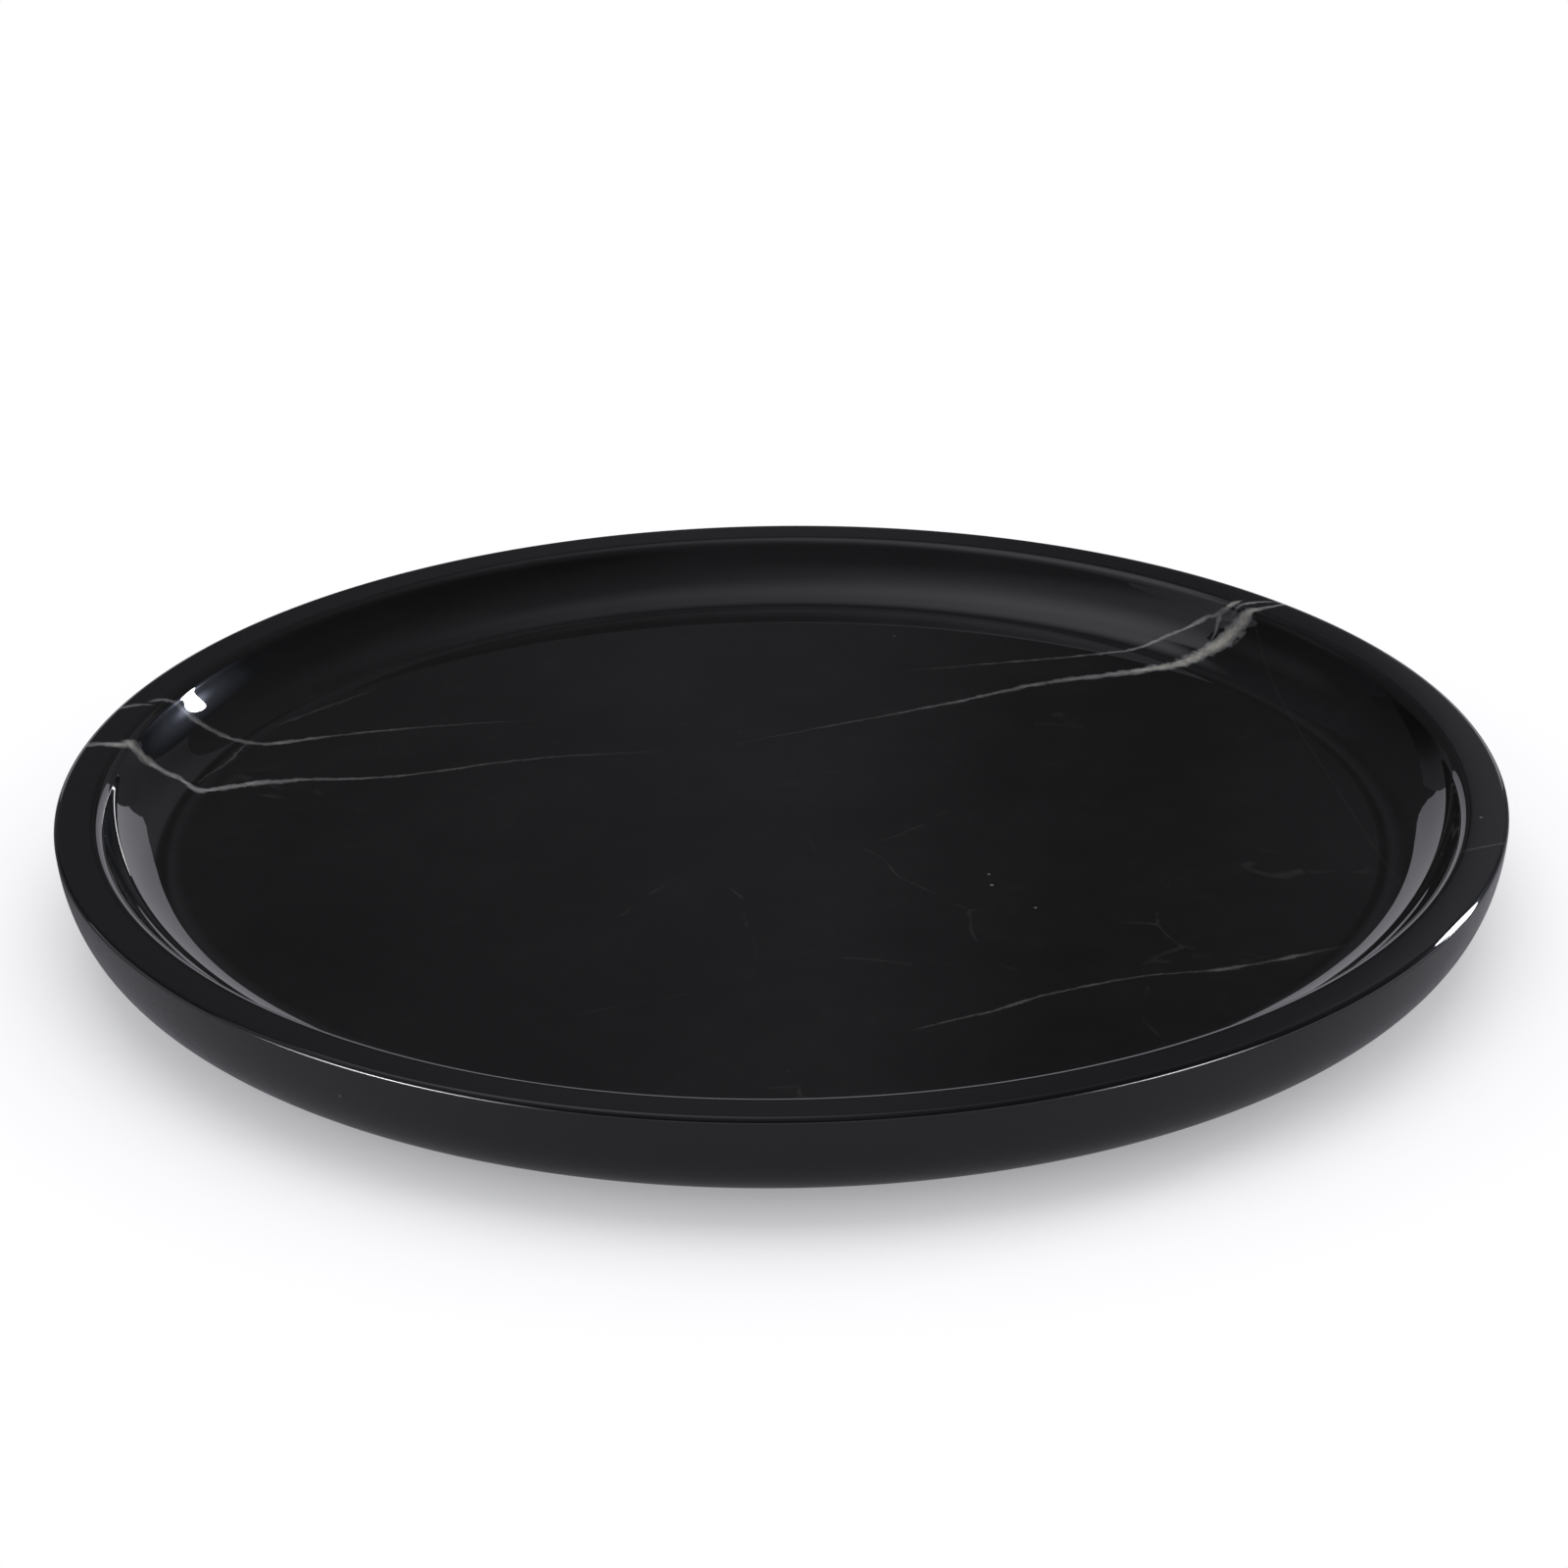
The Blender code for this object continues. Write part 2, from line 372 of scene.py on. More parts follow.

# Colours of the stone: the ground from dark to light with smoke in it, the rim's ground, which is
# paler as painted sheen for the light on the rim's flat top, and the veins from faint to strong, with
# the fade between those two. The strengths are how pale hairlines and specks get, as shares of a
# vein's colour.
GROUND_DARK = (0.0077, 0.0078, 0.0082, 1.0)
GROUND_LIGHT = (0.0098, 0.0099, 0.0104, 1.0)
GROUND_SMOKE = (0.0128, 0.0128, 0.0132, 1.0)
# Painted sheen: the rim's flat top gets a paler ground to stand for the light it catches
RIM_GROUND_PAINTED_SHEEN = (0.0134, 0.0135, 0.0145, 1.0)
VEIN_FAINT = (0.33, 0.33, 0.34, 1.0)
VEIN_STRONG = (0.37, 0.36, 0.33, 1.0)
VEIN_STRONG_FADE = (0.6, 0.9)
HAIRLINE_STRENGTH = 0.035
SPECK_STRENGTH = 0.45

# Where the finishes meet: the start and end of each fade, in millimetres outwards or upwards of an edge of
# the stone, and for the hairlines as radii
OUTSIDE_FADE_MM = (-4.0, -3.0)
UNDER_RIM_FADE_MM = (-0.4, -0.9)
BELOW_DISH_FADE_MM = (-0.2, -0.6)
RIM_TOP_FADE_MM = (-0.15, -0.02)
RIM_INSIDE_FADE_MM = (-0.2, 0.6)
UNDERSIDE_FADE_MM = (0.6, 0.05)
HAIRLINE_FADE_MM = (104.0, 98.0)

# Finish of the stone: how rough each zone is, unevenly in the dish and on the wall, how much rougher the
# veins are, and how strongly the stone refracts
DISH_ROUGHNESS = Mottle(9.0, 3.0, 0.3, 0.7, 0.010, 0.028)
RIM_ROUGHNESS = 0.075
WALL_ROUGHNESS = Mottle(4.0, 4.0, 0.3, 0.7, 0.17, 0.23)
BASE_ROUGHNESS = 0.55
VEIN_ROUGHER = 0.10
STONE_IOR = 1.5

# Relief of the stone: how high the veins, the wall's tooth and the underside's rings and grain stand, with
# the grain of each noise, and how far the grinding wheel's rings wander
VEIN_RELIEF_MM = 0.002
TOOTH_RELIEF_MM = 0.004
TOOTH_GRAIN_MM = 0.7
WHEEL_RING_RELIEF_MM = 0.004
WHEEL_WANDER_MM = 1.5
WHEEL_WANDER_GRAIN_MM = 9.0
WHEEL_GRAIN_RELIEF_MM = 0.03
WHEEL_GRAIN_MM = 0.5

# Rubber of the feet: clean and dusty
RUBBER_CLEAN = (0.017, 0.017, 0.018, 1.0)
RUBBER_DUSTY = (0.034, 0.033, 0.031, 1.0)
RUBBER_DUST = Mottle(2.5, 4.0, 0.4, 0.75)
RUBBER_ROUGHNESS = (0.58, 0.8)
STIPPLE_RELIEF_MM = 0.03
STIPPLE_GRAIN_MM = 0.25


class Recipe:
    """A material whose nodes are added and linked one by one, so that its recipe reads as a formula."""

    def __init__(self, name):
        self.material = bpy.data.materials.new(name)
        self.material.use_nodes = True
        self.tree = self.material.node_tree
        self.tree.nodes.clear()
        self.output = self.tree.nodes.new("ShaderNodeOutputMaterial")

    def feed(self, socket, value):
        """Links a node's output to the socket, or writes a plain value on it."""
        if isinstance(value, bpy.types.NodeSocket):
            self.tree.links.new(value, socket)
        else:
            socket.default_value = value

    def node(self, kind, **settings):
        node = self.tree.nodes.new(kind)
        for name, value in settings.items():
            setattr(node, name, value)
        return node

    def place_mm(self):
        """Where a point of the stone lies, in millimetres, as a vector."""
        place = self.node("ShaderNodeTexCoord").outputs["Object"]
        return self.scaled(place, 1.0 / MM)

    def scaled(self, vector, factor):
        node = self.node("ShaderNodeVectorMath", operation="SCALE")
        self.feed(node.inputs[0], vector)
        self.feed(node.inputs["Scale"], factor)
        return node.outputs["Vector"]

    def moved(self, vector, shift):
        node = self.node("ShaderNodeVectorMath", operation="ADD")
        self.feed(node.inputs[0], vector)
        self.feed(node.inputs[1], shift)
        return node.outputs["Vector"]

    def along(self, vector, direction):
        node = self.node("ShaderNodeVectorMath", operation="DOT_PRODUCT")
        self.feed(node.inputs[0], vector)
        self.feed(node.inputs[1], direction)
        return node.outputs["Value"]

    def flat_part(self, vector):
        """A vector without its height."""
        node = self.node("ShaderNodeVectorMath", operation="MULTIPLY")
        self.feed(node.inputs[0], vector)
        self.feed(node.inputs[1], (1.0, 1.0, 0.0))
        return node.outputs["Vector"]

    def length(self, vector):
        node = self.node("ShaderNodeVectorMath", operation="LENGTH")
        self.feed(node.inputs[0], vector)
        return node.outputs["Value"]

    def math(self, operation, *values):
        node = self.node("ShaderNodeMath", operation=operation)
        for socket, value in zip(node.inputs, values):
            self.feed(socket, value)
        return node.outputs[0]

    def total(self, *values):
        result = values[0]
        for value in values[1:]:
            result = self.math("ADD", result, value)
        return result

    def step(self, value, start, end, low=0.0, high=1.0):
        """A smooth step from low, where value is at start, to high, where it is at end."""
        node = self.node("ShaderNodeMapRange", interpolation_type="SMOOTHSTEP")
        for socket, item in zip(node.inputs, (value, start, end, low, high)):
            self.feed(socket, item)
        return node.outputs["Result"]

    def noise(self, vector, grain_mm, detail=2.0, rough=0.5, output="Fac"):
        node = self.node("ShaderNodeTexNoise", noise_dimensions="3D")
        self.feed(node.inputs["Vector"], vector)
        node.inputs["Scale"].default_value = 1.0 / grain_mm
        node.inputs["Detail"].default_value = detail
        node.inputs["Roughness"].default_value = rough
        return node.outputs[output]

    def mottled(self, place, mottle):
        """The value that a mottle has at a place."""
        cloud = self.noise(self.moved(place, mottle.shift_mm), mottle.grain_mm, mottle.detail, mottle.rough)
        return self.step(cloud, mottle.start, mottle.end, mottle.low, mottle.high)

    def shaken(self, place, grain_mm, detail, reach_mm):
        """A noise that goes from minus the reach to the reach."""
        return self.math("MULTIPLY_ADD", self.noise(place, grain_mm, detail), 2 * reach_mm, -reach_mm)

    def curve(self, value, points):
        """A curve drawn through (share, value) points, all from 0 to 1."""
        node = self.node("ShaderNodeFloatCurve")
        line = node.mapping.curves[0]
        line.points[0].location = points[0]
        line.points[-1].location = points[-1]
        for point in points[1:-1]:
            line.points.new(*point)
        node.mapping.update()
        self.feed(node.inputs["Value"], value)
        return node.outputs["Value"]

    def drawn(self, value, points):
        """A curve drawn through (value, result) points, whose results are from 0 to 1."""
        start, end = points[0][0], points[-1][0]
        node = self.node("ShaderNodeMapRange", interpolation_type="LINEAR")
        self.feed(node.inputs["Value"], value)
        node.inputs["From Min"].default_value = start
        node.inputs["From Max"].default_value = end
        shares = [((at - start) / (end - start), result) for at, result in points]
        return self.curve(node.outputs["Result"], shares)

    def mixed(self, share, first, second):
        """A colour between two by a share, on the node's sockets for colours."""
        node = self.node("ShaderNodeMix", data_type="RGBA")
        self.feed(node.inputs[0], share)
        self.feed(node.inputs[6], first)
        self.feed(node.inputs[7], second)
        return node.outputs[2]

    def blended(self, share, first, second):
        """A number between two by a share, on the node's sockets for numbers."""
        node = self.node("ShaderNodeMix", data_type="FLOAT")
        self.feed(node.inputs[0], share)
        self.feed(node.inputs[2], first)
        self.feed(node.inputs[3], second)
        return node.outputs[0]

    def bumped(self, height_mm):
        """The surface's direction where it stands out by a height in millimetres."""
        node = self.node("ShaderNodeBump")
        node.inputs["Strength"].default_value = 1.0
        node.inputs["Distance"].default_value = MM
        self.feed(node.inputs["Height"], height_mm)
        return node.outputs["Normal"]

    def mixed_shaders(self, share, first, second):
        node = self.node("ShaderNodeMixShader")
        self.feed(node.inputs[0], share)
        self.feed(node.inputs[1], first)
        self.feed(node.inputs[2], second)
        return node.outputs[0]


# Turned shapes

def arc(centre, radius, start, end, count):
    """Points of an arc in the profile's (radius, height) plane, from one angle to another."""
    angles = [start + (end - start) * step / (count - 1) for step in range(count)]
    return [(centre[0] + radius * math.cos(a), centre[1] + radius * math.sin(a)) for a in angles]


def dish_profile():
    """The dish from its centre to the rim: floor, cove and the rim's rounded inner edge."""
    drop_share = 1.0 - math.cos(COVE_SLOPE)
    cove_radius = (DISH_DEPTH - RIM_INNER_ROUND * drop_share) / drop_share
    rim_inner = BODY_RADIUS - RIM_WIDTH
    floor_radius = rim_inner - (cove_radius + RIM_INNER_ROUND) * math.sin(COVE_SLOPE)
    floor = BODY_TOP - DISH_DEPTH
    down = -math.pi / 2
    up = math.pi / 2
    flat = [(floor_radius * ring / FLOOR_RINGS, floor) for ring in range(FLOOR_RINGS)]
    cove = arc((floor_radius, floor + cove_radius), cove_radius, down, down + COVE_SLOPE, COVE_POINTS)
    edge = arc((rim_inner, BODY_TOP - RIM_INNER_ROUND), RIM_INNER_ROUND, up + COVE_SLOPE, up, ROUND_POINTS)
    return flat + cove + edge[1:]


def wall_profile():
    """The outside from the rim to the base: a ring that keeps the rim's shading flat, the rounded outer
    edge, then the swelling wall."""
    outer_edge = (BODY_RADIUS - RIM_OUTER_ROUND, BODY_TOP - RIM_OUTER_ROUND)
    edge = [(BODY_RADIUS - RIM_WIDTH / 4, BODY_TOP)]
    edge += arc(outer_edge, RIM_OUTER_ROUND, math.pi / 2, 0.0, OUTER_ROUND_POINTS)
    edge += arc(outer_edge, RIM_OUTER_ROUND, 0.0, -WALL_LEAN, LEAN_POINTS)[1:]
    top = Vector(edge[-1])
    base = Vector((BASE_RADIUS, BASE_HEIGHT))
    top_handle = top + WALL_TOP_REACH * Vector((-math.sin(WALL_LEAN), -math.cos(WALL_LEAN)))
    base_handle = base + Vector((WALL_BASE_REACH, 0.0))
    wall = interpolate_bezier(top, top_handle, base_handle, base, WALL_POINTS)
    return edge + [(point.x, point.y) for point in wall[1:]]


def even_turns(count):
    return [math.tau * step / count for step in range(count)]


def turned_shape(profile, turns):
    """A closed bmesh made by turning a profile, which starts and ends on the axis, to each angle."""
    shape = bmesh.new()
    first = shape.verts.new((0.0, 0.0, profile[0][1]))
    last = shape.verts.new((0.0, 0.0, profile[-1][1]))
    rows = [[shape.verts.new((radius * math.cos(turn), radius * math.sin(turn), height))
             for radius, height in profile[1:-1]] for turn in turns]
    for row, after in zip(rows, rows[1:] + rows[:1]):
        shape.faces.new((first, row[0], after[0]))
        shape.faces.new((row[-1], last, after[-1]))
        for k in range(len(row) - 1):
            shape.faces.new((row[k], row[k + 1], after[k + 1], after[k]))
    bmesh.ops.recalc_face_normals(shape, faces=shape.faces)
    return shape


def body_turns():
    """The angles of the body's profiles: even, and closer together around the worn flat."""
    angles = []
    for angle in even_turns(BODY_TURNS):
        off_flat = abs((angle - FLAT_TURN + math.pi) % math.tau - math.pi)
        parts = FLAT_PARTS if off_flat < FLAT_REACH else 1
        angles += [angle + math.tau / BODY_TURNS * part / parts for part in range(parts)]
    return angles


def wear_flat(shape):
    """Presses what stands out over the crowned surface of the worn flat back onto it."""
    out = Vector((math.cos(FLAT_TURN), math.sin(FLAT_TURN), 0.0))
    normal = math.sin(FLAT_TILT) * out + Vector((0.0, 0.0, math.cos(FLAT_TILT)))
    middle = (BODY_RADIUS - RIM_OUTER_ROUND) * out + Vector((0.0, 0.0, BODY_TOP - RIM_OUTER_ROUND))
    middle += (RIM_OUTER_ROUND - FLAT_DEPTH) * normal
    ahead = Vector((-out.y, out.x, 0.0))
    across = normal.cross(ahead)
    for vertex in shape.verts:
        step = vertex.co - middle
        places = (step.dot(across), step.dot(ahead))
        if all(abs(place) < span for place, span in zip(places, FLAT_SPAN)):
            crown = sum(place ** 2 / radius / 2 for place, radius in zip(places, FLAT_CROWN))
            vertex.co -= normal * max(step.dot(normal) + crown, 0.0)


def swell_cove(shape):
    """Presses the cove in and out a little around its ring, as polishing by hand leaves it."""
    span = DISH_DEPTH + RIM_INNER_ROUND
    start = BODY_RADIUS - RIM_WIDTH - span
    for vertex in shape.verts:
        radius = math.hypot(vertex.co.x, vertex.co.y)
        share = (radius - start) / span
        if vertex.co.z > BODY_TOP - DISH_DEPTH - WELD and 0.0 < share < 1.0:
            angle = math.atan2(vertex.co.y, vertex.co.x)
            swell = sum(math.sin(count * angle + count) / count for count in COVE_SWELL_COUNTS)
            hump = math.sin(math.pi * share) ** 2
            vertex.co.z -= COVE_SWELL * hump * (1.0 + swell * COVE_SWELL_COUNTS[0]) / 2


def add_piece(name, shape, material, node):
    """Makes an object of the shape, which rides on the tray's one body and stands for a node."""
    mesh = bpy.data.meshes.new(name)
    shape.to_mesh(mesh)
    shape.free()
    mesh.shade_smooth()
    mesh.materials.append(material)
    piece = bpy.data.objects.new(name, mesh)
    bpy.context.scene.collection.objects.link(piece)
    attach(piece, "root")
    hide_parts(node)
    return piece


# Stone

def vein_paleness(stone, vein, place, wander, widen):
    """How pale one vein makes the stone: 0 outside it, and up to its strength in its core."""
    course = [Vector(place) for place in vein.course_mm]
    start = course[0]
    way = course[-1] - start
    ahead = way.normalized()
    left = Vector((-ahead.y, ahead.x))
    from_start = stone.moved(place, (-start.x, -start.y, 0.0))
    share = stone.math("DIVIDE", stone.along(from_start, (ahead.x, ahead.y, 0.0)), way.length)
    aside = stone.math("ADD", stone.along(from_start, (left.x, left.y, 0.0)), wander)
    steps = [spot - start for spot in course]
    shifts = [(step.dot(ahead) / way.length, step.dot(left) / SWAY_REACH_MM) for step in steps]
    sway = stone.curve(share, [(at, (1.0 + shift) / 2) for at, shift in shifts])
    width = stone.curve(share, [(at, value / WIDTH_REACH_MM) for at, value in vein.width_mm])
    strength = stone.curve(share, vein.strength)
    middle = stone.math("MULTIPLY_ADD", sway, 2 * SWAY_REACH_MM, -SWAY_REACH_MM)
    off_middle = stone.math("ABSOLUTE", stone.math("SUBTRACT", aside, middle))
    half_width = stone.math("MULTIPLY", stone.math("MULTIPLY", width, WIDTH_REACH_MM / 2), widen)
    across = stone.math("DIVIDE", off_middle, half_width)
    body = stone.total(stone.step(across, *VEIN_EDGE), stone.step(across, *VEIN_CORE))
    ends = stone.math("MULTIPLY", stone.step(share, *VEIN_FADE_IN), stone.step(share, *VEIN_FADE_OUT))
    return stone.math("MULTIPLY", stone.math("MULTIPLY", body, strength), ends)


def specks(stone, place):
    """Tiny pale grains: in some cells of a Voronoi pattern, a dot of random size."""
    cells = stone.node("ShaderNodeTexVoronoi", feature="F1")
    stone.feed(cells.inputs["Vector"], place)
    cells.inputs["Scale"].default_value = 1.0 / SPECK_CELL_MM
    chance = stone.node("ShaderNodeSeparateColor")
    stone.feed(chance.inputs[0], cells.outputs["Color"])
    smallest, largest = [radius / SPECK_CELL_MM for radius in SPECK_RADII_MM]
    radius = stone.math("MULTIPLY_ADD", chance.outputs[1], largest - smallest, smallest)
    dot = stone.step(stone.math("DIVIDE", cells.outputs["Distance"], radius), *SPECK_EDGE_SHARES)
    return stone.math("MULTIPLY", dot, stone.math("LESS_THAN", chance.outputs[0], SPECK_SHARE))


def hairlines(stone, place):
    """A net of hair-thin pale lines that shows only in patches."""
    cloud = stone.noise(place, HAIRLINE_BEND_GRAIN_MM, output="Color")
    bend = stone.scaled(stone.moved(cloud, (-0.5, -0.5, -0.5)), HAIRLINE_BEND_MM)
    net = stone.node("ShaderNodeTexVoronoi", feature="DISTANCE_TO_EDGE")
    stone.feed(net.inputs["Vector"], stone.moved(place, bend))
    net.inputs["Scale"].default_value = 1.0 / HAIRLINE_CELL_MM
    width = HAIRLINE_WIDTH_MM / HAIRLINE_CELL_MM
    line = stone.step(net.outputs["Distance"], width, HAIRLINE_CORE_SHARE * width)
    patches = stone.mottled(place, HAIRLINE_PATCHES)
    broken = stone.mottled(place, HAIRLINE_BREAKS)
    return stone.math("MULTIPLY", stone.math("MULTIPLY", line, patches), broken)


def all_veins(stone, place):
    """How pale the veins make the stone: first by their shape alone, then patchy and grainy as well."""
    aside = stone.math("ADD", stone.shaken(place, *WANDER), stone.shaken(place, *FRAY))
    widen = stone.mottled(place, VEIN_WIDENING)
    paleness = 0.0
    for vein in VEINS.values():
        paleness = stone.math("MAXIMUM", paleness, vein_paleness(stone, vein, place, aside, widen))
    patchy = stone.math("MULTIPLY", paleness, stone.mottled(place, VEIN_PATCHES))
    return paleness, stone.math("MULTIPLY", patchy, stone.mottled(place, VEIN_GRAIN))


def edge_fade(stone, value, edge, fade_mm):
    """A smooth step from 0 to 1 of a value in millimetres, whose start and end count from an edge."""
    start, end = fade_mm
    return stone.step(value, edge / MM + start, edge / MM + end)


def marble_zones(stone, radius, height):
    """Where the stone is its outer wall, its rim's flat top and its underside, each from 0 to 1."""
    outside = edge_fade(stone, radius, BODY_RADIUS, OUTSIDE_FADE_MM)
    under_rim = edge_fade(stone, height, BODY_TOP, UNDER_RIM_FADE_MM)
    below_dish = edge_fade(stone, height, BODY_TOP - DISH_DEPTH, BELOW_DISH_FADE_MM)
    wall = stone.math("MAXIMUM", stone.math("MULTIPLY", outside, under_rim), below_dish)
    on_top = edge_fade(stone, height, BODY_TOP, RIM_TOP_FADE_MM)
    on_rim = edge_fade(stone, radius, BODY_RADIUS - RIM_WIDTH, RIM_INSIDE_FADE_MM)
    rim = stone.math("MULTIPLY", on_top, on_rim)
    underside = edge_fade(stone, height, BASE_HEIGHT, UNDERSIDE_FADE_MM)
    return wall, rim, underside


def marble_ground(stone, place, rim):
    """The near-black ground with its clouds and smoke. It is a little paler on the rim's top, which is
    painted sheen.
    """
    clouds = stone.mottled(place, CLOUDS)
    smoke = stone.math("MULTIPLY", stone.mottled(place, SMOKE), clouds)
    ground = stone.mixed(clouds, GROUND_DARK, GROUND_LIGHT)
    ground = stone.mixed(smoke, ground, GROUND_SMOKE)
    # The rim's paler ground is painted sheen, not a different stone colour
    return stone.mixed(rim, ground, RIM_GROUND_PAINTED_SHEEN)


def marble_roughness(stone, place, rim, wall, underside, pale_share):
    """How rough the stone is: polished in the dish, softer on the rim, satin on the wall, honed beneath."""
    roughness = stone.blended(rim, stone.mottled(place, DISH_ROUGHNESS), RIM_ROUGHNESS)
    roughness = stone.blended(wall, roughness, stone.mottled(place, WALL_ROUGHNESS))
    roughness = stone.blended(underside, roughness, BASE_ROUGHNESS)
    return stone.math("MULTIPLY_ADD", pale_share, VEIN_ROUGHER, roughness)


def marble_relief(stone, place, radius, wall, underside, pale_share):
    """Veins stand a touch proud of the softer ground, the wall has a fine tooth, and the underside keeps
    the rings of the grinding wheel."""
    tooth = stone.math("MULTIPLY", stone.noise(place, TOOTH_GRAIN_MM, detail=3.0), TOOTH_RELIEF_MM)
    wander = stone.noise(place, WHEEL_WANDER_GRAIN_MM)
    rings = stone.math("SINE", stone.math("MULTIPLY_ADD", wander, WHEEL_WANDER_MM, radius))
    grain = stone.math("MULTIPLY", stone.noise(place, WHEEL_GRAIN_MM, detail=4.0), WHEEL_GRAIN_RELIEF_MM)
    wheel = stone.math("MULTIPLY_ADD", rings, WHEEL_RING_RELIEF_MM, grain)
    height = stone.math("MULTIPLY", pale_share, VEIN_RELIEF_MM)
    height = stone.math("MULTIPLY_ADD", tooth, wall, height)
    height = stone.math("MULTIPLY_ADD", wheel, underside, height)
    return stone.bumped(height)


def marble():
    """Black marble: near-black ground with faint clouds, pale veins, hairlines and specks, polished inside,
    satin on the wall and honed underneath."""
    stone = Recipe("black_marble_polished")
    place = stone.place_mm()
    radius = stone.length(stone.flat_part(place))
    height = stone.along(place, UP)

    wall, rim, underside = marble_zones(stone, radius, height)
    on_floor = stone.step(radius, *HAIRLINE_FADE_MM)

    paleness, vein = all_veins(stone, place)
    lines = stone.math("MULTIPLY", hairlines(stone, place), on_floor)
    fine = stone.math("MULTIPLY", lines, HAIRLINE_STRENGTH)
    dots = stone.math("MULTIPLY", specks(stone, place), SPECK_STRENGTH)
    pale_share = stone.math("MAXIMUM", stone.math("MAXIMUM", vein, fine), dots)
    pale = stone.mixed(stone.step(paleness, *VEIN_STRONG_FADE), VEIN_FAINT, VEIN_STRONG)
    colour = stone.mixed(pale_share, marble_ground(stone, place, rim), pale)
    roughness = marble_roughness(stone, place, rim, wall, underside, pale_share)
    relief = marble_relief(stone, place, radius, wall, underside, pale_share)

    shader = stone.node("ShaderNodeBsdfPrincipled")
    stone.feed(shader.inputs["Base Color"], colour)
    stone.feed(shader.inputs["Roughness"], roughness)
    stone.feed(shader.inputs["Normal"], relief)
    shader.inputs["IOR"].default_value = STONE_IOR
    stone.feed(stone.output.inputs["Surface"], shader.outputs["BSDF"])
    return stone.material


def add_body():
    base = [(0.0, BASE_HEIGHT)]
    shape = turned_shape(dish_profile() + wall_profile() + base, body_turns())
    swell_cove(shape)
    wear_flat(shape)
    add_piece("tray_stone", shape, marble(), "tray_body")


# Feet

def rubber():
    """Moulded black rubber: matt, with a fine stipple and some stone dust."""
    pad = Recipe("foot_rubber_moulded")
    place = pad.place_mm()
    dust = pad.mottled(place, RUBBER_DUST)
    stipple = pad.math("MULTIPLY", pad.noise(place, STIPPLE_GRAIN_MM), STIPPLE_RELIEF_MM)
    shader = pad.node("ShaderNodeBsdfPrincipled")
    pad.feed(shader.inputs["Base Color"], pad.mixed(dust, RUBBER_CLEAN, RUBBER_DUSTY))
    pad.feed(shader.inputs["Roughness"], pad.blended(dust, *RUBBER_ROUGHNESS))
    pad.feed(shader.inputs["Normal"], pad.bumped(stipple))
    pad.feed(pad.output.inputs["Surface"], shader.outputs["BSDF"])
    return pad.material


def foot_profile(radius, top):
    """Half of a moulded foot from the top's centre round to the bottom's: flat top, rounded lower edge,
    raised border, recess and centre button."""
    corner = (radius - FOOT_EDGE_ROUND, FOOT_EDGE_ROUND)
    edge = arc(corner, FOOT_EDGE_ROUND, 0.0, -math.pi / 2, ROUND_POINTS)
    border = radius - FOOT_BORDER_WIDTH
    recess = [(border, 0.0), (border - FOOT_STEP_RUN, FOOT_RECESS_DEPTH)]
    button = [(FOOT_BUTTON_RADIUS + FOOT_STEP_RUN, FOOT_RECESS_DEPTH), (FOOT_BUTTON_RADIUS, 0.0)]
    return [(0.0, top), (radius, top)] + edge + recess + button + [(0.0, 0.0)]


def add_foot(name, material):
    low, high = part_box(name)
    middle = (low + high) / 2
    shape = turned_shape(foot_profile((high.x - low.x) / 2, high.z), even_turns(FOOT_TURNS))
    bmesh.ops.translate(shape, verts=shape.verts, vec=(middle.x, middle.y, 0.0))
    piece = add_piece(name + "_pad", shape, material, name)
    piece.data.set_sharp_from_angle(angle=FOOT_SHARP_ANGLE)


def add_feet():
    material = rubber()
    for name in FEET:
        add_foot(name, material)


# Studio

def stage_white(name, seen_share, mirrored_strength, window=0.0):
    """White paper. The camera sees a share of it as plain white and the rest as lit paper, so that the
    tray's shade shows. The stone mirrors it at a strength, and other rays see lit paper; on the floor that
    strength is a painted shadow of the tray. The share and the strength are formulas of the recipe and
    the place. From behind, the camera sees through it, and inside the radius of the window lamps shine
    through it onto the tray's underside."""
    paper = Recipe(name)
    paper.material.cycles.emission_sampling = "NONE"
    diffuse = paper.node("ShaderNodeBsdfDiffuse")
    diffuse.inputs["Color"].default_value = PAPER
    place = paper.node("ShaderNodeTexCoord").outputs["Object"]
    rays = paper.node("ShaderNodeLightPath").outputs
    mirrored = paper.math("MAXIMUM", rays["Is Glossy Ray"], rays["Is Transmission Ray"])
    seen = paper.math("MULTIPLY", rays["Is Camera Ray"], seen_share(paper, place))
    glow = paper.node("ShaderNodeEmission")
    paper.feed(glow.inputs["Color"], paper.mixed(mirrored, SEEN_WHITE, MIRRORED_WHITE))
    paper.feed(glow.inputs["Strength"], paper.blended(mirrored, 1.0, mirrored_strength(paper, place)))
    lit = paper.mixed_shaders(paper.math("MAXIMUM", seen, mirrored), diffuse.outputs[0], glow.outputs[0])
    clear = paper.node("ShaderNodeBsdfTransparent")
    backfacing = paper.node("ShaderNodeNewGeometry").outputs["Backfacing"]
    behind = paper.math("MULTIPLY", backfacing, rays["Is Camera Ray"])
    in_window = paper.math("LESS_THAN", paper.length(place), window)
    opened = paper.math("MAXIMUM", behind, paper.math("MULTIPLY", rays["Is Shadow Ray"], in_window))
    paper.feed(paper.output.inputs["Surface"], paper.mixed_shaders(opened, lit, clear.outputs[0]))
    return paper.material


def floor_seen(paper, place):
    return paper.drawn(paper.length(place), SHADE_WHITE)


